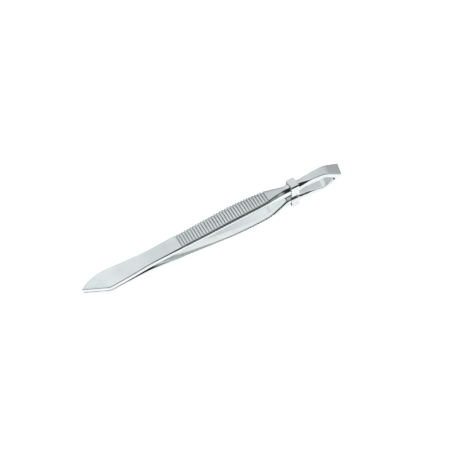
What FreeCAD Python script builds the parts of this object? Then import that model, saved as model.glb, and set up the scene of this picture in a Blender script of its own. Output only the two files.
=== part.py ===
"""Slant tweezers: two crowned, ribbed arms on a folded spring bow, held at the neck by a collar.

The frame: +X runs from the jaw tips to the heel point, +Y points away from the slanted jaw edges, +Z is up.
The origin is the middle of the overall box, so Z = 0 is the plane that the two arms mirror each other in.
Every length is in millimetres. Distances called "from_tip" are measured along X from the jaw's point.
"""

import FreeCAD, Part

import math
import os

from FreeCAD import Vector

# ---- overall ----
length = 80.0  # jaw point to heel point
rest_half_gap = 0.05  # from the mirror plane to each jaw's inner face, with the tips together

# ---- jaw: the leaf-shaped end of each arm ----
jaw_width = 7.5
jaw_widest_from_tip = 8.4
jaw_point_offset = 0.2  # how far the point lies off the centre line, to +Y
slant_run = 6.9  # length along X of the slanted gripping edge
slant_corner_radius = 2.2  # where the slanted edge turns into the jaw's side
jaw_thickness = 1.1
jaw_edge_thickness = 0.85  # left at the slanted edge after its bevel is ground
jaw_bevel_angle = 38.0

# ---- shank: the plain flat stretch behind the jaw ----
shank_width = 5.7
shank_from_tip = 20.0
shank_thickness = 1.15
shank_half_gap = 0.4

# ---- grip: the crowned, ribbed stretch ----
grip_width = 6.6
grip_from_tip = 46.5
grip_height = 6.9  # over both arms, at the widest place
grip_thickness = 1.5
grip_crown = 0.4  # how much higher the middle of the outer face is than its edges
back_height = 7.0  # over both arms, where they stand furthest apart
back_width = 5.9
back_from_tip = 55.5

# ---- ribs rolled across the grip ----
rib_first_from_tip = 29.7
rib_pitch = 0.84
rib_count = 33
rib_depth = 0.22
rib_mouth = 0.5  # groove width along X at the surface
rib_floor = 0.22

# ---- neck: narrow and thick, where collar and spacer sit ----
neck_from_tip = 64.5
neck_width = 3.3
neck_height = 6.05  # over both arms
neck_thickness = 2.4
neck_crown = 0.34
neck_lead = 0.4  # how far the even neck runs out in front of the collar
hinge_clearance = 0.05  # round the knuckle that stands in for the flexing neck

# ---- bow: the folded spring that joins the arms ----
bow_thickness = 1.2
bow_waist_width = 3.0
bow_waist_from_heel = 10.0
knee_from_heel = 4.6
knee_stagger = 1.2  # how much further from the heel the lower knee is than the upper one
fold_skew = 12.0  # degrees that the bow's fold lines run off square
knee_height = 5.7  # over both knees
knee_radius = 6.0  # outside of the knee bends
knee_width = 3.8
heel_width = 4.9
heel_radius = 0.75  # outside of the sharp fold at the heel point

# ---- collar: a strip of sheet bent round both arms ----
collar_length = 2.4  # along X
collar_wall = 0.4
collar_side_clearance = 0.12
collar_face_clearance = 0.12
collar_corner_radius = 0.55  # outside
collar_lean = 0.66  # how far its top stands toward the heel, and its underside toward the jaws
collar_gap = 1.1  # between the bent sheet's two ends, on the slanted side

# ---- spacer between the arms ----
spacer_length = 3.7
spacer_lead = 1.5  # how far it shows in front of the collar
spacer_side_inset = 0.1  # how far each side stands in from the necks' sides
spacer_clearance = 0.04

# ---- edges and section spacing ----
outer_corner_flat = 0.24  # outer long edges on the flat stretches
outer_corner_crowned = 0.5  # outer long edges on the crowned stretches
inner_corner = 0.1  # inner long edges
inner_corner_neck = 0.55  # where the strip is rolled almost round
plain_step = 1.6  # between sections where the arm is plain

# ---- worked out ----
tip_x = -length / 2
heel_x = length / 2
neck_x = tip_x + neck_from_tip
knuckle_radius = neck_thickness / 2
spacer_width = neck_width - 2 * spacer_side_inset
pivot_z = neck_height / 2 - neck_thickness / 2
point_x = heel_x - heel_width / 2 * math.tan(math.radians(fold_skew))  # the fold's middle
jaw_half = jaw_width / 2
overrun = 1.0  # how far cutting tools reach past what they cut


class Station:
    """One cross-section of an arm: where it is, and its width, heights and crown."""

    def __init__(self, from_tip, width, inner_z, outer_z, crown, corner, inset=inner_corner):
        self.sizes = [from_tip, width, inner_z, outer_z, crown, corner, inset]

    def sunk(self, depth):
        """The same section with its outer face and both sides moved in by depth."""
        from_tip, width, inner_z, outer_z, crown, corner, inset = self.sizes
        return Station(from_tip, width - 2 * depth, inner_z, outer_z - depth, crown,
                       corner - depth / 2, inset)

    def wire(self):
        """The closed section: a flat inner face, upright sides and a crowned outer face, corners rounded."""
        from_tip, width, inner_z, outer_z, crown, corner, inset = self.sizes
        half = width / 2
        crown_radius = (half**2 + crown**2) / (2 * crown)
        centre_z = outer_z - crown_radius
        corner_y = half - corner
        corner_z = centre_z + math.sqrt((crown_radius - corner)**2 - corner_y**2)
        lean = math.atan2(corner_z - centre_z, corner_y)

        def at(y, z):
            return Vector(tip_x + from_tip, y, z)

        def crown_at(side):
            return at(side * crown_radius * math.cos(lean), centre_z + crown_radius * math.sin(lean))

        def corner_mid(side):
            return at(side * (corner_y + corner * math.cos(lean / 2)), corner_z + corner * math.sin(lean / 2))

        edges = [
            Part.LineSegment(at(inset - half, inner_z), at(half - inset, inner_z)),
            Part.LineSegment(at(half - inset, inner_z), at(half, inner_z + inset)),
            Part.LineSegment(at(half, inner_z + inset), at(half, corner_z)),
            Part.Arc(at(half, corner_z), corner_mid(1), crown_at(1)),
            Part.Arc(crown_at(1), at(0, outer_z), crown_at(-1)),
            Part.Arc(crown_at(-1), corner_mid(-1), at(-half, corner_z)),
            Part.LineSegment(at(-half, corner_z), at(-half, inner_z + inset)),
            Part.LineSegment(at(-half, inner_z + inset), at(inset - half, inner_z)),
        ]
        return Part.Wire([edge.toShape() for edge in edges])


def blended(stations, from_tip):
    """The section at from_tip, with every size run smoothly through the listed stations."""
    places = [station.sizes[0] for station in stations]
    number = max(i for i in range(len(places) - 1) if places[i] <= from_tip)
    share = (from_tip - places[number]) / (places[number + 1] - places[number])

    def slope(i, size):
        low, high = max(i - 1, 0), min(i + 1, len(places) - 1)
        return (stations[high].sizes[size] - stations[low].sizes[size]) / (places[high] - places[low])

    run = places[number + 1] - places[number]
    sizes = [from_tip]
    for size in range(1, 7):
        start, end = stations[number].sizes[size], stations[number + 1].sizes[size]
        value = (2 * share**3 - 3 * share**2 + 1) * start + (3 * share**2 - 2 * share**3) * end
        value += run * (share**3 - 2 * share**2 + share) * slope(number, size)
        value += run * (share**3 - share**2) * slope(number + 1, size)
        sizes.append(value)
    return Station(*sizes)


def between(low, high, share):
    """The value a share of the way from low to high."""
    return low + (high - low) * share


def arm_stations():
    """The sections of the upper arm, from its jaw to just past the neck."""
    flat_crown = 0.07
    shank_outer = shank_half_gap + shank_thickness
    grip_outer = grip_height / 2
    back_outer = back_height / 2
    neck_outer = neck_height / 2
    grip_inner = grip_outer - grip_thickness
    jaw_outer = rest_half_gap + jaw_thickness
    slope = (grip_outer - shank_outer) / (grip_from_tip - shank_from_tip)

    def on_slope(from_tip):
        return shank_outer + slope * (from_tip - shank_from_tip)

    rib_start = rib_first_from_tip - 1.5
    neck_start = neck_from_tip - collar_length / 2 - collar_lean - neck_lead
    mid_grip = between(rib_start, grip_from_tip, 0.5)
    return [
        Station(-overrun, jaw_width + 0.9, rest_half_gap, jaw_outer, flat_crown, outer_corner_flat),
        Station(jaw_widest_from_tip, jaw_width, rest_half_gap, jaw_outer, flat_crown, outer_corner_flat),
        Station(between(jaw_widest_from_tip, shank_from_tip, 0.5), between(jaw_width, shank_width, 0.5),
                between(rest_half_gap, shank_half_gap, 0.3), between(jaw_outer, shank_outer, 0.36),
                flat_crown, outer_corner_flat),
        Station(shank_from_tip, shank_width, shank_half_gap, shank_outer, flat_crown, outer_corner_flat),
        Station(rib_start, between(shank_width, grip_width, 0.3),
                on_slope(rib_start) - between(shank_thickness, grip_thickness, 0.2),
                on_slope(rib_start),
                between(flat_crown, grip_crown, 0.25), between(outer_corner_flat, outer_corner_crowned, 0.3)),
        Station(mid_grip, between(shank_width, grip_width, 0.8),
                on_slope(mid_grip) - between(shank_thickness, grip_thickness, 0.65), on_slope(mid_grip) + 0.04,
                between(flat_crown, grip_crown, 0.7), outer_corner_crowned),
        Station(grip_from_tip, grip_width, grip_inner, grip_outer, grip_crown, outer_corner_crowned),
        Station(back_from_tip, back_width, back_outer - grip_thickness - 0.08, back_outer, grip_crown,
                outer_corner_crowned),
        Station(between(back_from_tip, neck_start, 0.58), between(back_width, neck_width, 0.66),
                between(back_outer, neck_outer, 0.42) - between(grip_thickness, neck_thickness, 0.62),
                between(back_outer, neck_outer, 0.42), between(grip_crown, neck_crown, 0.6),
                outer_corner_crowned),
        Station(neck_start, neck_width, neck_outer - neck_thickness, neck_outer, neck_crown,
                outer_corner_crowned, inner_corner_neck),
        Station(neck_from_tip, neck_width, neck_outer - neck_thickness, neck_outer, neck_crown,
                outer_corner_crowned, inner_corner_neck),
        Station(neck_from_tip + 2 * knuckle_radius, neck_width, neck_outer - neck_thickness, neck_outer,
                neck_crown, outer_corner_crowned, inner_corner_neck),
    ]


def prism(edges, direction):
    """A solid from a closed run of flat edges, pushed along direction."""
    return Part.Face(Part.Wire([edge.toShape() for edge in edges])).extrude(direction)


def jaw_points():
    """Where the jaw's outline turns: its point, the slant's end, and the slant's unit direction."""
    point = Vector(tip_x, jaw_point_offset, 0)
    slant_end = Vector(tip_x + slant_run, -jaw_half, 0)
    along = (slant_end - point).normalize()
    return point, slant_end, along


def jaw_outline():
    """A prism that keeps only the jaw's leaf shape: an arc, a slanted edge and a round corner."""
    point, slant_end, along = jaw_points()
    rise = jaw_half - point.y
    arc_radius = (jaw_widest_from_tip**2 + rise**2) / (2 * rise)
    arc_centre = Vector(tip_x + jaw_widest_from_tip, jaw_half - arc_radius, 0)
    arc_end = Vector(tip_x + jaw_widest_from_tip, jaw_half, 0)
    start = math.atan2(point.y - arc_centre.y, point.x - arc_centre.x)
    mid = (start + math.pi / 2) / 2
    arc_mid = arc_centre + Vector(math.cos(mid), math.sin(mid), 0) * arc_radius

    turn = math.atan2(-along.y, along.x)
    tangent = slant_corner_radius * math.tan(turn / 2)
    corner_start = slant_end - along * tangent
    corner_end = slant_end + Vector(tangent, 0, 0)
    corner_centre = corner_end + Vector(0, slant_corner_radius, 0)
    corner_mid = corner_centre + (slant_end - corner_centre).normalize() * slant_corner_radius

    back_x = neck_x + 4 * overrun
    outside = jaw_half + 2 * overrun
    corners = [arc_end, Vector(arc_end.x, outside, 0), Vector(back_x, outside, 0),
               Vector(back_x, -outside, 0), Vector(corner_end.x, -outside, 0), corner_end]
    edges = [Part.Arc(point, arc_mid, arc_end)]
    edges += [Part.LineSegment(a, b) for a, b in zip(corners, corners[1:])]
    edges += [Part.Arc(corner_end, corner_mid, corner_start), Part.LineSegment(corner_start, point)]
    return prism(edges, Vector(0, 0, back_height))


def slant_bevel():
    """The wedge ground off the outer face along the slanted edge, which leaves a thin gripping edge."""
    point, slant_end, along = jaw_points()
    inward = Vector(-along.y, along.x, 0)
    edge_z = rest_half_gap + jaw_edge_thickness
    top = Vector(0, 0, jaw_thickness)
    run = inward * (jaw_thickness / math.tan(math.radians(jaw_bevel_angle)))
    start = point - along * slant_corner_radius + Vector(0, 0, edge_z)
    back = start - inward * overrun
    corners = [back, start, start + run + top, back + top, back]
    edges = [Part.LineSegment(a, b) for a, b in zip(corners, corners[1:])]
    return prism(edges, along * ((slant_end - point).Length + 2.6 * slant_corner_radius))


def arm_sections(stations):
    """Every section the arm is drawn through: plain ones, and four across each rib groove."""
    plain = []
    steps = round((neck_from_tip + overrun) / plain_step)
    rib_last = rib_first_from_tip + (rib_count - 1) * rib_pitch
    for number in range(steps + 1):
        from_tip = -overrun + (neck_from_tip + 2 * overrun) * number / steps
        if not rib_first_from_tip - rib_pitch < from_tip < rib_last + rib_pitch:
            plain.append(blended(stations, from_tip))
    grooves = []
    for number in range(rib_count):
        middle = rib_first_from_tip + number * rib_pitch
        for offset, depth in ((-rib_mouth / 2, 0), (-rib_floor / 2, rib_depth), (rib_floor / 2, rib_depth),
                              (rib_mouth / 2, 0)):
            grooves.append(blended(stations, middle + offset).sunk(depth))
    return sorted(plain + grooves, key=lambda station: station.sizes[0])


def knuckle(radius):
    """The round hinge barrel across the neck that stands in for its flexing."""
    return Part.makeCylinder(radius, 2 * neck_width, Vector(neck_x, -neck_width, pivot_z), Vector(0, 1, 0))


def upper_arm():
    """The whole upper arm: jaw, shank, ribbed grip and the rounded end that turns in the bow."""
    sections = arm_sections(arm_stations())
    arm = Part.makeLoft([section.wire() for section in sections], True, True)
    behind = Part.makeBox(4 * knuckle_radius, 2 * neck_width, back_height, Vector(neck_x, -neck_width, 0))
    beyond = Part.makeBox(2 * jaw_widest_from_tip, 4 * jaw_width, back_height,
                          Vector(tip_x - jaw_widest_from_tip / 2, -2 * jaw_width, -overrun))
    for tool in (beyond.cut(jaw_outline()), slant_bevel(), behind.cut(knuckle(knuckle_radius))):
        arm = arm.cut(tool)
    return arm


def rounded(corners, radii):
    """A closed run of straight edges through the corners, each corner turned with its own radius."""
    turns = []
    for number, (corner, radius) in enumerate(zip(corners, radii)):
        back = (corners[number - 1] - corner).normalize()
        ahead = (corners[(number + 1) % len(corners)] - corner).normalize()
        half_angle = back.getAngle(ahead) / 2
        inward = (back + ahead).normalize()
        reach = radius / math.tan(half_angle)
        middle = corner + inward * (radius / math.sin(half_angle) - radius)
        turns.append((corner + back * reach, middle, corner + ahead * reach, radius))
    edges = []
    for number, (start, middle, end, radius) in enumerate(turns):
        edges.append(Part.LineSegment(turns[number - 1][2], start))
        if radius > 0:
            edges.append(Part.Arc(start, middle, end))
    return edges


def across(before, corner, after):
    """Where the bow's inner face turns, straight across the strip from an outer corner."""
    normals = []
    for start, end in ((before, corner), (corner, after)):
        along = (end - start).normalize()
        normals.append(Vector(along.z, 0, -along.x))
    share = bow_thickness / (1 + normals[0].dot(normals[1]))
    return corner + (normals[0] + normals[1]) * share


def bow_profile():
    """The bow seen from the side: its outer line from top to underside, then its inner line back."""
    neck_outer = neck_height / 2
    neck_inner = neck_outer - neck_thickness
    knee_z = knee_height / 2
    upper_x = point_x - knee_from_heel
    lower_x = upper_x - knee_stagger
    sharp_x = point_x
    for _ in range(6):
        fold_half = (math.atan2(knee_z, sharp_x - upper_x) + math.atan2(knee_z, sharp_x - lower_x)) / 2
        sharp_x = point_x + heel_radius / math.sin(fold_half) - heel_radius
    outer = [
        Vector(neck_x, 0, neck_outer),
        Vector(upper_x, 0, knee_z),
        Vector(sharp_x, 0, 0),
        Vector(lower_x, 0, -knee_z),
        Vector(neck_x, 0, -neck_outer),
    ]
    turned = [across(*outer[number : number + 3]) for number in range(3)]
    inner = [Vector(neck_x, 0, -neck_inner)] + turned[::-1] + [Vector(neck_x, 0, neck_inner)]
    radii = [0, knee_radius, heel_radius, knee_radius, 0]
    radii += [0, knee_radius / 2, heel_radius / 3, knee_radius / 2, 0]
    return rounded(outer + inner, radii)


def bow_plan():
    """The bow seen from above: a narrow waist behind the collar that flares to the wide fold at the heel."""
    sides = []
    for side in (1, -1):
        curve = Part.BSplineCurve()
        curve.interpolate([
            Vector(neck_x, side * neck_width / 2, 0),
            Vector(heel_x - bow_waist_from_heel, side * bow_waist_width / 2, 0),
            Vector(heel_x - knee_from_heel, side * knee_width / 2, 0),
            Vector(heel_x + overrun, side * heel_width / 2, 0),
        ])
        sides.append(curve)
    left, right = sides
    front = Part.LineSegment(right.StartPoint, left.StartPoint)
    back = Part.LineSegment(left.EndPoint, right.EndPoint)
    plan = prism([front, left, back, right], Vector(0, 0, 2 * back_height))
    plan.translate(Vector(0, 0, -back_height))
    return plan


def heel_bow():
    """The folded strip behind the neck: two legs, two knees and the sharp fold at the heel point."""
    sweep = Vector(math.tan(math.radians(fold_skew)), 1, 0) * (2 * heel_width)
    whole = prism(bow_profile(), sweep)
    whole.translate(sweep / -2)
    in_front = Part.makeBox(4 * overrun, 4 * neck_width, back_height,
                            Vector(neck_x - 4 * overrun, -2 * neck_width, 0))
    barrel = knuckle(knuckle_radius + hinge_clearance).fuse(in_front)
    for tool in (barrel, barrel.mirror(Vector(0, 0, 0), Vector(0, 0, 1))):
        whole = whole.cut(tool)
    return whole.common(bow_plan())


def collar_block(inset, reach):
    """The leaning collar's outline swept along X, drawn in by inset and run past each end by reach."""
    half_y = neck_width / 2 + collar_side_clearance + collar_wall - inset
    outside_z = neck_height / 2 + collar_face_clearance + collar_wall
    start_x = neck_x - collar_length / 2 - reach
    corners = []
    for side_y, side_z in ((-1, -1), (1, -1), (1, 1), (-1, 1)):
        z = side_z * (outside_z - inset)
        corners.append(Vector(start_x + collar_lean * z / outside_z, side_y * half_y, z))
    radius = collar_corner_radius - inset
    return prism(rounded(corners, [radius] * 4), Vector(collar_length + 2 * reach, 0, 0))


def neck_collar():
    """The bent sheet collar, whose two ends stop short of each other and show the spacer between them."""
    ring = collar_block(0, 0).cut(collar_block(collar_wall, overrun))
    gap_start = Vector(neck_x - collar_length, -1.5 * neck_width, -collar_gap / 2)
    return ring.cut(Part.makeBox(2 * collar_length, neck_width, collar_gap, gap_start))


def neck_spacer():
    """The distance piece that keeps the two necks apart inside the collar."""
    half_z = neck_height / 2 - neck_thickness - spacer_clearance
    front_x = neck_x - collar_length / 2 - spacer_lead
    block = Part.makeBox(spacer_length, spacer_width, 2 * half_z, Vector(front_x, -spacer_width / 2, -half_z))
    upright = [edge for edge in block.Edges if edge.BoundBox.ZLength > half_z]
    return block.makeFillet(spacer_width / 5, upright)


def main():
    """Builds every piece and writes one STEP file for each."""
    arm = upper_arm()
    pieces = {
        "upper_arm": arm,
        "lower_arm": arm.mirror(Vector(0, 0, 0), Vector(0, 0, 1)),
        "heel_bow": heel_bow(),
        "neck_collar": neck_collar(),
        "neck_spacer": neck_spacer(),
    }
    os.makedirs("parts", exist_ok=True)
    for name, shape in pieces.items():
        box = shape.BoundBox
        print(name, "valid" if shape.isValid() else "INVALID", len(shape.Solids), "solid",
              round(shape.Volume, 2), "mm3", [round(v, 2) for v in (box.XMin, box.XMax, box.YMin, box.YMax,
                                                                    box.ZMin, box.ZMax)])
        shape.exportStep(os.path.join("parts", name + ".step"))


main()
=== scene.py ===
"""Looks of a pair of slant tweezers: nickel-plated folded strip, bent collar and steel spacer.

Sizes are held in millimetres and turned into metres where a mesh is made. +X runs from the jaws to the heel,
+Y away from the slanted edges and +Z up through the upper arm.
"""

import logging
import math
from dataclasses import dataclass, field
from enum import Enum
from typing import Callable, Sequence, Union

import bmesh
import bpy
from mathutils import Matrix, Vector


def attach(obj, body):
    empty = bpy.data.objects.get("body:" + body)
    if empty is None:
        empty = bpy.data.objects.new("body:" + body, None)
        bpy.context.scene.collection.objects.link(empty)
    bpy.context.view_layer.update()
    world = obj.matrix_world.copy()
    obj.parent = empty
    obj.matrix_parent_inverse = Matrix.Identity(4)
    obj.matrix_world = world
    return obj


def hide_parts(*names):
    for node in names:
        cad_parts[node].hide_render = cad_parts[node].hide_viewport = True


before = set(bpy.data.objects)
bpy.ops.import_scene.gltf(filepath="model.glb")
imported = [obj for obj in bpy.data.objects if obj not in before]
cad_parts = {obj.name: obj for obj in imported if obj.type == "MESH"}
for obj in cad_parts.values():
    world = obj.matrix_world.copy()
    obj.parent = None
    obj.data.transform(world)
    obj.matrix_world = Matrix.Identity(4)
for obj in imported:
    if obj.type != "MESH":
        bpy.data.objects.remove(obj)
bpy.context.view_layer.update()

LOG = logging.getLogger("tweezers")
MM = 0.001
TIP_X = -40.0
HEEL_X = 40.0
GRAIN_DEPTH = 0.00002  # metres

Number = Union[int, float]
Place = tuple[float, float]


class Side(Enum):
    """Which of the two mirrored arms a piece belongs to."""

    UPPER = 1
    LOWER = -1


def ease(share: float) -> float:
    """A smooth step from 0 to 1 for a share from 0 to 1."""
    share = min(max(share, 0.0), 1.0)
    return share * share * (3 - 2 * share)


def mixed(low: float, high: float, share: float) -> float:
    """The value a share of the way from low to high."""
    return low + (high - low) * share


# ---------------------------------------------------------------- shader building


class Wire:
    """A shader socket that can be used in Python sums; each operator adds one Math node."""

    def __init__(self, sheet: "Sheet", socket: bpy.types.NodeSocket) -> None:
        """Holds the socket and the sheet that it lives on.

        Args:
            sheet: the node sheet that new Math nodes are added to.
            socket: the output socket that this wire stands for.
        """
        self.sheet = sheet
        self.socket = socket

    def _math(self, operation: str, *values: "Value") -> "Wire":
        """Adds one Math node.

        Args:
            operation: the Math node's operation.
            values: what feeds its inputs, in order.

        Returns:
            The node's result as a wire.
        """
        return self.sheet.add("ShaderNodeMath", {"operation": operation}, dict(enumerate(values)))

    def __add__(self, other: "Value") -> "Wire":
        """This plus other."""
        return self._math("ADD", self, other)

    def __radd__(self, other: "Value") -> "Wire":
        """Other plus this."""
        return self._math("ADD", other, self)

    def __sub__(self, other: "Value") -> "Wire":
        """This minus other."""
        return self._math("SUBTRACT", self, other)

    def __rsub__(self, other: "Value") -> "Wire":
        """Other minus this."""
        return self._math("SUBTRACT", other, self)

    def __mul__(self, other: "Value") -> "Wire":
        """This times other."""
        return self._math("MULTIPLY", self, other)

    def __rmul__(self, other: "Value") -> "Wire":
        """Other times this."""
        return self._math("MULTIPLY", other, self)

    def __abs__(self) -> "Wire":
        """This without its sign."""
        return self._math("ABSOLUTE", self)

    def step(self, low: float, high: float) -> "Wire":
        """A smooth step of this value.

        Args:
            low: the value that gives 0.
            high: the value that gives 1.

        Returns:
            A wire that runs from 0 to 1.
        """
        settings = {"interpolation_type": "SMOOTHSTEP"}
        inputs = {"Value": self, "From Min": low, "From Max": high}
        return self.sheet.add("ShaderNodeMapRange", settings, inputs)


Value = Union[Number, Wire, Sequence[float]]


class Sheet:
    """A node tree that is filled from Python."""

    def __init__(self, tree: bpy.types.NodeTree) -> None:
        """Empties the tree and keeps it."""
        self.tree = tree
        tree.nodes.clear()

    def add(
        self, kind: str, settings: dict[str, object], inputs: dict[object, Value], out: object = 0
    ) -> Wire:
        """Adds one node: its settings first, then what its sockets hold or are fed by.

        Args:
            kind: the node's type name.
            settings: attributes of the node, set before its inputs.
            inputs: values or wires by socket name or number.
            out: which output the returned wire stands for.

        Returns:
            A wire on that output, or on the first input of a node with no outputs.
        """
        node = self.tree.nodes.new(kind)
        for name, value in settings.items():
            setattr(node, name, value)
        for name, value in inputs.items():
            if isinstance(value, Wire):
                self.tree.links.new(value.socket, node.inputs[name])
            else:
                node.inputs[name].default_value = value
        return Wire(self, node.outputs[out] if node.outputs else node.inputs[0])

    def colour_mix(self, share: Value, first: Value, second: Value) -> Wire:
        """Mixes two colours.

        Args:
            share: 0 for the first colour, 1 for the second.
            first: a colour or a wire that carries one.
            second: a colour or a wire that carries one.

        Returns:
            The mixed colour as a wire.
        """
        return self.add("ShaderNodeMix", {"data_type": "RGBA"}, {0: share, 6: first, 7: second}, out=2)

    def object_place(self, stretch: Sequence[float]) -> Wire:
        """A piece's own coordinates, stretched for grain and noise.

        Args:
            stretch: how much each axis is scaled.

        Returns:
            The stretched place as a wire.
        """
        place = self.add("ShaderNodeTexCoord", {}, {}, out="Object")
        return self.add("ShaderNodeVectorMath", {"operation": "MULTIPLY"}, {0: place, 1: stretch})

    def noise(self, place: Wire, scale: float, detail: float) -> Wire:
        """Cloudy noise from 0 to 1.

        Args:
            place: where it is looked up.
            scale: how fine it is.
            detail: how many finer layers are added.

        Returns:
            The noise value as a wire.
        """
        return self.add("ShaderNodeTexNoise", {}, {"Vector": place, "Scale": scale, "Detail": detail})


# ---------------------------------------------------------------- finishes


@dataclass(frozen=True)
class PlatedFinish:
    """Bright plating over rolled steel, with a faint grain along the strip and uneven gloss."""

    name: str
    colour: tuple[float, float, float]
    tint: tuple[float, float, float]
    gloss_low: float
    gloss_high: float
    grain: float

    def material(self) -> bpy.types.Material:
        """Makes the material.

        Returns:
            The finished material.
        """
        made = bpy.data.materials.new(self.name)
        made.use_nodes = True
        sheet = Sheet(made.node_tree)
        clouds = sheet.noise(sheet.object_place((1.0, 1.0, 1.0)), 260.0, 3.0)
        grain = sheet.noise(sheet.object_place((60.0, 2600.0, 2600.0)), 1.0, 4.0)
        smears = sheet.noise(sheet.object_place((40.0, 160.0, 160.0)), 2.2, 2.0).step(0.35, 0.7)
        colour = sheet.colour_mix(clouds.step(0.3, 0.75), (*self.colour, 1.0), (*self.tint, 1.0))
        spread = self.gloss_high - self.gloss_low
        roughness = self.gloss_low + spread * (0.55 * smears + 0.45 * grain)
        relief = grain + 0.4 * clouds
        bump = sheet.add(
            "ShaderNodeBump", {}, {"Strength": self.grain, "Distance": GRAIN_DEPTH, "Height": relief}
        )
        surface = sheet.add(
            "ShaderNodeBsdfPrincipled",
            {},
            {"Base Color": colour, "Metallic": 1.0, "Roughness": roughness, "Normal": bump},
        )
        sheet.add("ShaderNodeOutputMaterial", {}, {"Surface": surface})
        return made


@dataclass(frozen=True)
class FloorFinish:
    """A plain pale sweep that glows a little, so that it stays even under the object."""

    name: str = "pale_floor"
    colour: tuple[float, float, float] = (0.86, 0.86, 0.86)
    glow: float = 0.85

    def material(self) -> bpy.types.Material:
        """Makes the floor's material.

        Returns:
            The finished material.
        """
        made = bpy.data.materials.new(self.name)
        made.use_nodes = True
        sheet = Sheet(made.node_tree)
        surface = sheet.add(
            "ShaderNodeBsdfPrincipled",
            {},
            {
                "Base Color": (*self.colour, 1.0),
                "Roughness": 0.9,
                "Specular IOR Level": 0.0,
                "Emission Color": (1.0, 1.0, 1.0, 1.0),
                "Emission Strength": self.glow,
            },
        )
        sheet.add("ShaderNodeOutputMaterial", {}, {"Surface": surface})
        return made


STRIP_NICKEL = PlatedFinish("nickel_strip", (0.84, 0.86, 0.855), (0.78, 0.82, 0.815), 0.07, 0.17, 0.12)
COLLAR_NICKEL = PlatedFinish("nickel_collar", (0.85, 0.86, 0.86), (0.79, 0.81, 0.81), 0.10, 0.22, 0.15)
SPACER_STEEL = PlatedFinish("spacer_steel", (0.42, 0.44, 0.44), (0.33, 0.35, 0.35), 0.28, 0.45, 0.3)


# ---------------------------------------------------------------- cross-sections and meshes


@dataclass(frozen=True)
class Section:
    """The strip's cross-section: a flat inner face, upright sides and a crowned outer face."""

    near: float
    far: float
    inner: float
    outer: float
    crown: float
    corner: float
    inner_corner: float = 0.1

    def outline(self) -> list[Place]:
        """Walks once round the section.

        Returns:
            Places as (across, height), the same number for every section.
        """
        middle, half = (self.far - self.near) / 2, (self.far + self.near) / 2
        thick = self.outer - self.inner
        crown = min(self.crown, 0.5 * half, 0.45 * thick)
        corner = min(self.corner, 0.8 * half, 0.55 * thick)
        small = min(self.inner_corner, 0.4 * half, 0.35 * thick)
        radius = (half**2 + crown**2) / (2 * crown)
        centre = self.outer - radius
        corner_y = half - corner
        corner_z = centre + math.sqrt((radius - corner) ** 2 - corner_y**2)
        lean = math.atan2(corner_z - centre, corner_y)
        places: list[Place] = []
        places += [(mixed(small - half, half - small, i / 6), self.inner) for i in range(7)]
        for i in range(1, 7):
            turn = -math.pi / 2 + i / 6 * math.pi / 2
            z = self.inner + small + small * math.sin(turn)
            places.append((half - small + small * math.cos(turn), z))
        places += [(half, mixed(self.inner + small, corner_z, i / 3)) for i in (1, 2)]
        for i in range(9):
            turn = lean * i / 8
            places.append((corner_y + corner * math.cos(turn), corner_z + corner * math.sin(turn)))
        for i in range(1, 16):
            turn = lean + (math.pi - 2 * lean) * i / 16
            places.append((radius * math.cos(turn), centre + radius * math.sin(turn)))
        for i in range(9):
            turn = math.pi - lean + lean * i / 8
            places.append((-corner_y + corner * math.cos(turn), corner_z + corner * math.sin(turn)))
        places += [(-half, mixed(corner_z, self.inner + small, i / 3)) for i in (1, 2)]
        for i in range(6):
            turn = math.pi + i / 6 * math.pi / 2
            z = self.inner + small + small * math.sin(turn)
            places.append((small - half + small * math.cos(turn), z))
        return [(y + middle, z) for y, z in places]


def run_through(knots: Sequence[Sequence[float]], place: float) -> list[float]:
    """Runs smoothly through knots, each a place followed by its values.

    Args:
        knots: the knots, in order of place.
        place: where the values are wanted; beyond the ends they stay as at the ends.

    Returns:
        The values at that place.
    """
    place = min(max(place, knots[0][0]), knots[-1][0])
    number = max(i for i in range(len(knots) - 1) if knots[i][0] <= place)
    run = knots[number + 1][0] - knots[number][0]
    share = (place - knots[number][0]) / run
    values = []
    for k in range(1, len(knots[0])):

        def slope(i: int) -> float:
            """How fast value k changes at knot i."""
            low, high = max(i - 1, 0), min(i + 1, len(knots) - 1)
            return (knots[high][k] - knots[low][k]) / (knots[high][0] - knots[low][0])

        value = (2 * share**3 - 3 * share**2 + 1) * knots[number][k]
        value += (3 * share**2 - 2 * share**3) * knots[number + 1][k]
        value += run * (share**3 - 2 * share**2 + share) * slope(number)
        value += run * (share**3 - share**2) * slope(number + 1)
        values.append(value)
    return values


def skinned(name: str, rings: Sequence[Sequence[Vector]], finish: PlatedFinish) -> bpy.types.Object:
    """Skins a row of closed rings into one closed mesh with both ends capped.

    Args:
        name: the piece's name.
        rings: closed rings with equal counts, in millimetres.
        finish: what the piece is dressed in.

    Returns:
        The new object.
    """
    shell = bmesh.new()
    rows = [[shell.verts.new(place * MM) for place in ring] for ring in rings]
    count = len(rows[0])
    for row, following in zip(rows, rows[1:]):
        for i in range(count):
            j = (i + 1) % count
            shell.faces.new((row[i], row[j], following[j], following[i]))
    caps = [shell.faces.new(rows[0][::-1]), shell.faces.new(rows[-1])]
    for face in shell.faces:
        face.smooth = True
    for cap in caps:
        cap.smooth = False
        for edge in cap.edges:
            edge.smooth = False
    bmesh.ops.recalc_face_normals(shell, faces=shell.faces)
    mesh = bpy.data.meshes.new(name)
    shell.to_mesh(mesh)
    shell.free()
    mesh.materials.append(bpy.data.materials.get(finish.name) or finish.material())
    made = bpy.data.objects.new(name, mesh)
    bpy.context.scene.collection.objects.link(made)
    weighting = made.modifiers.new("even_normals", "WEIGHTED_NORMAL")
    weighting.keep_sharp = True
    return made


# ---------------------------------------------------------------- the pieces


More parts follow.
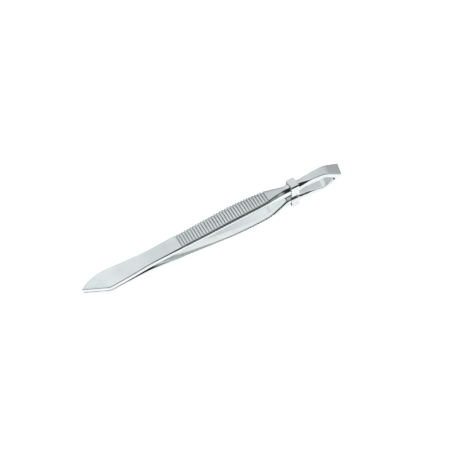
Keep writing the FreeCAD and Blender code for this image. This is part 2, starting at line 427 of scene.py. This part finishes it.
@dataclass(frozen=True)
class JawPlan:
    """The jaw seen from above: an arc on one side and a slanted gripping edge on the other."""

    half_width: float = 3.75
    widest: float = 8.4
    point: float = 0.2
    slant_run: float = 6.9
    corner_radius: float = 2.2
    clear: float = 1.0  # how far outside the strip this outline stands where it cuts nothing

    def far(self, from_tip: float) -> float:
        """How far the curved side lies from the centre line at from_tip."""
        if from_tip >= self.widest:
            return self.half_width + self.clear
        rise = self.half_width - self.point
        radius = (self.widest**2 + rise**2) / (2 * rise)
        return self.half_width - radius + math.sqrt(radius**2 - (self.widest - from_tip) ** 2)

    def near(self, from_tip: float) -> float:
        """How far the slanted side lies from the centre line at from_tip."""
        rise = self.half_width + self.point
        slope = math.atan2(rise, self.slant_run)
        reach = self.corner_radius * math.tan(slope / 2)
        if from_tip <= self.slant_run - reach * math.cos(slope):
            return -self.point + from_tip * math.tan(slope)
        if from_tip >= self.slant_run + reach:
            return self.half_width + self.clear
        over = self.slant_run + reach - from_tip
        return self.half_width - self.corner_radius + math.sqrt(self.corner_radius**2 - over**2)


@dataclass
class Arm:
    """One arm of the tweezers: leaf-shaped jaw, flat shank, crowned ribbed grip and narrow neck."""

    side: Side
    jaw: JawPlan = field(default_factory=JawPlan)
    neck_from_tip: float = 64.5
    rib_first: float = 29.7
    rib_pitch: float = 0.84
    rib_count: int = 33
    rib_depth: float = 0.2
    rib_mouth: float = 0.56
    rib_margin: float = 0.4
    point_gap: float = 0.02
    neck_gap: float = 0.04
    # from tip, half width, inner height, outer height, crown, outer corner, inner corner
    knots: tuple[tuple[float, ...], ...] = (
        (-1.0, 4.2, 0.05, 1.15, 0.07, 0.2, 0.1),
        (8.4, 3.745, 0.05, 1.15, 0.07, 0.22, 0.1),
        (14.2, 3.3, 0.155, 1.3, 0.07, 0.24, 0.1),
        (20.0, 2.85, 0.4, 1.55, 0.07, 0.26, 0.1),
        (28.2, 2.985, 0.94, 2.15, 0.15, 0.47, 0.12),
        (37.4, 3.21, 1.48, 2.83, 0.3, 1.0, 0.2),
        (46.5, 3.3, 1.95, 3.45, 0.4, 1.0, 0.3),
        (55.5, 2.95, 1.92, 3.5, 0.4, 1.0, 0.4),
        (59.4, 2.2, 1.25, 3.3, 0.36, 1.2, 0.5),
        (62.24, 1.65, 0.625, 3.025, 0.34, 1.3, 0.6),
        (64.5, 1.65, 0.625, 3.025, 0.34, 1.3, 0.6),
    )

    def groove(self, from_tip: float) -> float:
        """How deep a rib groove is at from_tip."""
        number = round((from_tip - self.rib_first) / self.rib_pitch)
        number = min(max(number, 0), self.rib_count - 1)
        off = abs(from_tip - self.rib_first - number * self.rib_pitch)
        if off >= self.rib_mouth / 2:
            return 0.0
        return self.rib_depth * (0.5 + 0.5 * math.cos(2 * math.pi * off / self.rib_mouth))

    def places(self) -> list[float]:
        """Where sections stand along the arm: close together at the point and across the ribs.

        Returns:
            Distances from the tip, in order.
        """
        rib_last = self.rib_first + (self.rib_count - 1) * self.rib_pitch
        spans = (
            (self.point_gap, 1.0, 12),
            (1.0, 10.0, 54),
            (10.0, self.rib_first - self.rib_margin, 40),
            (self.rib_first - self.rib_margin, rib_last + self.rib_margin, 14 * self.rib_count),
            (rib_last + self.rib_margin, self.neck_from_tip - self.neck_gap, 34),
        )
        places: list[float] = []
        for low, high, steps in spans:
            places += [mixed(low, high, i / steps) for i in range(steps)]
        return places + [spans[-1][1]]

    def ring(self, from_tip: float) -> list[Vector]:
        """The arm's outline across the strip at one place.

        Args:
            from_tip: distance from the jaw's point.

        Returns:
            A closed ring in millimetres.
        """
        half, inner, outer, crown, corner, inner_corner = run_through(self.knots, from_tip)
        depth = self.groove(from_tip)
        section = Section(
            min(half, self.jaw.near(from_tip)) - depth,
            min(half, self.jaw.far(from_tip)) - depth,
            inner,
            outer - depth,
            crown,
            corner,
            inner_corner,
        )
        return [Vector((TIP_X + from_tip, y, self.side.value * z)) for y, z in section.outline()]

    def build(self) -> bpy.types.Object:
        """Builds the arm and hands it to its body.

        Returns:
            The arm's object.
        """
        word = self.side.name.lower()
        made = skinned(f"{word}_arm_strip", [self.ring(place) for place in self.places()], STRIP_NICKEL)
        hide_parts(f"{word}_arm")
        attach(made, word)
        return made


@dataclass
class HeelBow:
    """The folded strip behind the neck: two legs, two knees and the sharp fold at the heel."""

    neck_x: float = 24.5
    neck_half_height: float = 3.025
    neck_thickness: float = 2.4
    thickness: float = 1.2
    knee_from_heel: float = 4.6
    knee_stagger: float = 1.2
    knee_half_height: float = 2.85
    knee_radius: float = 6.0
    heel_radius: float = 0.75
    fold_skew: float = 12.0
    heel_half_width: float = 2.45
    front_gap: float = 0.04
    neck_crown: float = 0.34
    leg_crown: float = 0.03
    neck_corner: float = 1.3
    edge_corner: float = 0.2
    neck_inner_corner: float = 0.9
    edge_inner_corner: float = 0.14
    crown_fade: tuple[float, float] = (0.8, 6.5)  # where the neck's crown starts to fade, and over what length
    corner_fade: tuple[float, float] = (1.6, 5.0)  # the same for its round corners
    straight_steps: tuple[int, int, int] = (26, 14, 14)
    bend_steps: int = 12
    # x, half width
    widths: tuple[tuple[float, float], ...] = ((24.5, 1.65), (30.0, 1.5), (35.4, 1.9), (40.0, 2.42))

    def corners(self) -> tuple[list[Vector], list[Vector]]:
        """The bow's side view as sharp corners.

        Returns:
            The outer line and the inner line, each from the upper neck to the lower one.
        """
        tilt = math.tan(math.radians(self.fold_skew))
        point_x = HEEL_X - self.heel_half_width * tilt
        upper_x = point_x - self.knee_from_heel
        lower_x = upper_x - self.knee_stagger
        sharp_x = point_x
        for _ in range(6):
            angles = [math.atan2(self.knee_half_height, sharp_x - x) for x in (upper_x, lower_x)]
            sharp_x = point_x + self.heel_radius / math.sin(sum(angles) / 2) - self.heel_radius
        front_x = self.neck_x + self.front_gap
        outer = [
            Vector((front_x, 0, self.neck_half_height)),
            Vector((upper_x, 0, self.knee_half_height)),
            Vector((sharp_x, 0, 0)),
            Vector((lower_x, 0, -self.knee_half_height)),
            Vector((front_x, 0, -self.neck_half_height)),
        ]
        inner_z = self.neck_half_height - self.neck_thickness
        inner = [Vector((front_x, 0, inner_z))]
        for before, corner, after in zip(outer, outer[1:], outer[2:]):
            first, second = (corner - before).normalized(), (after - corner).normalized()
            normals = Vector((first.z, 0, -first.x)), Vector((second.z, 0, -second.x))
            share = self.thickness / (1 + normals[0].dot(normals[1]))
            inner.append(corner + (normals[0] + normals[1]) * share)
        inner.append(Vector((front_x, 0, -inner_z)))
        return outer, inner

    def turned(self, corners: Sequence[Vector], radii: Sequence[float]) -> list[Vector]:
        """Rounds a line's corners, with the same number of places for every line.

        Args:
            corners: the sharp line.
            radii: a radius for each corner between the ends.

        Returns:
            Places along the rounded line.
        """
        stops: list[tuple[Vector, Vector, Vector]] = []
        for before, corner, after, radius in zip(corners, corners[1:], corners[2:], radii):
            back, ahead = (before - corner).normalized(), (after - corner).normalized()
            half = back.angle(ahead) / 2
            reach = radius / math.tan(half)
            centre = corner + (back + ahead).normalized() * (radius / math.sin(half))
            stops.append((corner + back * reach, centre, corner + ahead * reach))
        line: list[Vector] = []
        start = corners[0]
        for (enter, centre, leave), steps in zip(stops, self.straight_steps):
            line += [start.lerp(enter, i / steps) for i in range(steps)]
            spokes = enter - centre, leave - centre
            for i in range(self.bend_steps):
                spoke = spokes[0].normalized().slerp(spokes[1].normalized(), i / self.bend_steps)
                line.append(centre + spoke * spokes[0].length)
            start = leave
        last_steps = self.straight_steps[0]
        line += [start.lerp(corners[-1], i / last_steps) for i in range(last_steps + 1)]
        return line

    def build(self) -> bpy.types.Object:
        """Builds the bow and hands it to its body.

        Returns:
            The bow's object.
        """
        outer, inner = self.corners()
        outer_line = self.turned(outer, (self.knee_radius, self.heel_radius, self.knee_radius))
        inner_line = self.turned(inner, (self.knee_radius / 2, self.heel_radius / 3, self.knee_radius / 2))
        rings = []
        for out, back in zip(outer_line, inner_line):
            away = ease((out.x - self.neck_x - self.crown_fade[0]) / self.crown_fade[1])
            band = ease((out.x - self.neck_x - self.corner_fade[0]) / self.corner_fade[1])
            (half,) = run_through(self.widths, out.x)
            thick = (out - back).length
            crown = mixed(self.neck_crown, self.leg_crown, away)
            corner = mixed(self.neck_corner, self.edge_corner, band)
            inner_corner = mixed(self.neck_inner_corner, self.edge_inner_corner, band)
            section = Section(half, half, 0.0, thick, crown, corner, inner_corner)
            rise = (out - back) / thick
            skew = math.tan(math.radians(self.fold_skew)) * away
            rings.append([back + rise * z + Vector((skew * y, y, 0)) for y, z in section.outline()])
        made = skinned("heel_bow_strip", rings, STRIP_NICKEL)
        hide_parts("heel_bow")
        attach(made, "bow")
        return made


@dataclass
class NeckCollar:
    """The bent sheet band round both necks; its two ends stop short of each other on the slanted side."""

    middle_x: float = 24.5
    length: float = 2.4
    wall: float = 0.4
    half_width: float = 2.17
    half_height: float = 3.545
    corner_radius: float = 0.55
    gap: float = 1.1
    lean: float = 0.66
    edge: float = 0.13

    def path(self) -> list[tuple[Place, Place]]:
        """Walks the band's outside, from one end to the other.

        Returns:
            Pairs of a place (y, z) and the outward direction there.
        """
        centre_y, centre_z = self.half_width - self.corner_radius, self.half_height - self.corner_radius
        walk: list[tuple[Place, Place]] = []
        walk += [((-self.half_width, mixed(-self.gap / 2, -centre_z, i / 8)), (-1.0, 0.0)) for i in range(9)]
        turns = ((-1, -1, 180.0), (1, -1, 270.0), (1, 1, 0.0), (-1, 1, 90.0))
        for side_y, side_z, start in turns:
            for i in range(1, 12):
                turn = math.radians(start + 90.0 * i / 11)
                out = (math.cos(turn), math.sin(turn))
                y = side_y * centre_y + self.corner_radius * out[0]
                z = side_z * centre_z + self.corner_radius * out[1]
                walk.append(((y, z), out))
            if (side_y, side_z) == (1, -1):
                for share in (0.25, 0.5, 0.75):
                    walk.append(((self.half_width, mixed(-centre_z, centre_z, share)), (1.0, 0.0)))
        walk += [((-self.half_width, mixed(centre_z, self.gap / 2, i / 8)), (-1.0, 0.0)) for i in range(1, 9)]
        return walk

    def build(self) -> bpy.types.Object:
        """Builds the collar and hands it to its body.

        Returns:
            The collar's object.
        """
        long, tall, edge = self.length / 2, self.wall / 2, self.edge
        profile: list[Place] = []
        for side_x, side_r, start in ((1, 1, 0.0), (-1, 1, 90.0), (-1, -1, 180.0), (1, -1, 270.0)):
            for i in range(6):
                turn = math.radians(start + 90.0 * i / 5)
                profile.append((side_x * (long - edge) + edge * math.cos(turn),
                                side_r * (tall - edge) + edge * math.sin(turn)))
        rings = []
        for (y, z), out in self.path():
            ring = []
            for along, rise in profile:
                depth = rise - tall
                height = z + depth * out[1]
                ring.append(Vector((self.middle_x + along + self.lean * height / self.half_height,
                                    y + depth * out[0], height)))
            rings.append(ring)
        made = skinned("neck_collar_band", rings, COLLAR_NICKEL)
        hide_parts("neck_collar")
        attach(made, "bow")
        return made


@dataclass
class NeckSpacer:
    """The distance piece between the arms inside the collar, with its corners and edges rounded."""

    front_x: float = 21.8
    length: float = 3.7
    half_width: float = 1.55
    half_height: float = 0.583
    corner_radius: float = 0.6
    edge: float = 0.12

    def ring(self, inset: float, height: float) -> list[Vector]:
        """One level outline of the block.

        Args:
            inset: how far it is drawn in from the sides.
            height: its level.

        Returns:
            A closed ring in millimetres.
        """
        half_length = self.length / 2
        radius = self.corner_radius - inset
        ring = []
        for side_x, side_y, start in ((1, 1, 0.0), (-1, 1, 90.0), (-1, -1, 180.0), (1, -1, 270.0)):
            for i in range(8):
                turn = math.radians(start + 90.0 * i / 7)
                x = side_x * (half_length - self.corner_radius) + radius * math.cos(turn)
                y = side_y * (self.half_width - self.corner_radius) + radius * math.sin(turn)
                ring.append(Vector((self.front_x + half_length + x, y, height)))
        return ring

    def build(self) -> bpy.types.Object:
        """Builds the spacer and hands it to its body.

        Returns:
            The spacer's object.
        """
        rings = []
        for end in (-1, 1):
            order = range(5) if end == -1 else range(4, -1, -1)
            for i in order:
                turn = math.pi / 2 * i / 4
                inset = self.edge * (1 - math.sin(turn))
                height = self.half_height - self.edge + self.edge * math.cos(turn)
                rings.append(self.ring(inset, end * height))
        made = skinned("neck_spacer_block", rings, SPACER_STEEL)
        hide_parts("neck_spacer")
        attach(made, "bow")
        return made


# ---------------------------------------------------------------- studio


@dataclass
class Studio:
    """The pale floor, the soft surroundings that the plating mirrors, and the camera."""

    floor_height: float = -3.62
    floor_size: float = 3000.0
    camera_distance: float = 420.0
    lens: float = 121.4
    right: tuple[float, float, float] = (0.8948834, -0.3787392, -0.2360941)
    up: tuple[float, float, float] = (0.4283287, 0.5802309, 0.6927241)
    slide_right: float = 3.04
    slide_up: float = 1.46

    def floor(self) -> None:
        """Lays the floor."""
        sheet = bmesh.new()
        bmesh.ops.create_grid(sheet, x_segments=1, y_segments=1, size=self.floor_size * MM / 2)
        mesh = bpy.data.meshes.new("floor")
        sheet.to_mesh(mesh)
        sheet.free()
        mesh.materials.append(FloorFinish().material())
        made = bpy.data.objects.new("floor", mesh)
        made.location = (0, 0, self.floor_height * MM)
        bpy.context.scene.collection.objects.link(made)

    def surroundings(self) -> None:
        """Sets the room: a tall soft panel behind, dimmer ones at both ends, and dark in front."""
        world = bpy.data.worlds.new("studio")
        world.use_nodes = True
        bpy.context.scene.world = world
        sheet = Sheet(world.node_tree)
        toward = sheet.add("ShaderNodeTexCoord", {}, {}, out="Generated")
        split = sheet.add("ShaderNodeSeparateXYZ", {}, {"Vector": toward})
        along = Wire(sheet, split.socket.node.outputs["X"])
        across = Wire(sheet, split.socket.node.outputs["Y"])
        height = Wire(sheet, split.socket.node.outputs["Z"])
        behind = across.step(0.12, 0.3)
        panel = 0.03 + 0.5 * height.step(0.09, 0.22) + 0.4 * height.step(0.25, 0.62)
        patch = 1 - abs(along + 0.035).step(0.015, 0.06)
        heel_side = along.step(0.1, 0.24)
        panel = panel * (1 - 0.2 * patch) * (1 - 0.27 * heel_side)
        edge = along.step(-0.42, -0.22)
        ends = 0.45 * abs(along).step(0.42, 0.62) * height.step(0.05, 0.3)
        level = 0.03 + behind * edge * panel + (1 - behind) * ends
        lamp = sheet.add("ShaderNodeBackground", {}, {"Color": (0.94, 0.98, 1.0, 1.0), "Strength": level})
        sheet.add("ShaderNodeOutputWorld", {}, {"Surface": lamp})

    def camera(self) -> None:
        """Stands the camera on the object's slanted side, above it and turned to its long axis."""
        right, up = Vector(self.right), Vector(self.up)
        back = right.cross(up)
        data = bpy.data.cameras.new("camera")
        data.lens = self.lens
        data.sensor_width = 36.0
        data.clip_start, data.clip_end = 0.01, 20.0
        made = bpy.data.objects.new("camera", data)
        place = (back * self.camera_distance + right * self.slide_right + up * self.slide_up) * MM
        made.matrix_world = Matrix.Translation(place) @ Matrix((right, up, back)).transposed().to_4x4()
        bpy.context.scene.collection.objects.link(made)
        bpy.context.scene.camera = made

    def build(self) -> None:
        """Sets up floor, surroundings and camera."""
        self.floor()
        self.surroundings()
        self.camera()
        bpy.context.scene.view_settings.view_transform = "Standard"


def main() -> None:
    """Builds every piece in order, reports it, and sets up the studio."""
    logging.basicConfig(level=logging.INFO, format="%(name)s: %(message)s")
    builders: list[Callable[[], bpy.types.Object]] = [
        Arm(Side.UPPER).build,
        Arm(Side.LOWER).build,
        HeelBow().build,
        NeckCollar().build,
        NeckSpacer().build,
    ]
    for build in builders:
        made = build()
        LOG.info("%s: %d corners, %d faces", made.name, len(made.data.vertices), len(made.data.polygons))
    Studio().build()


if __name__ == "__main__":
    main()
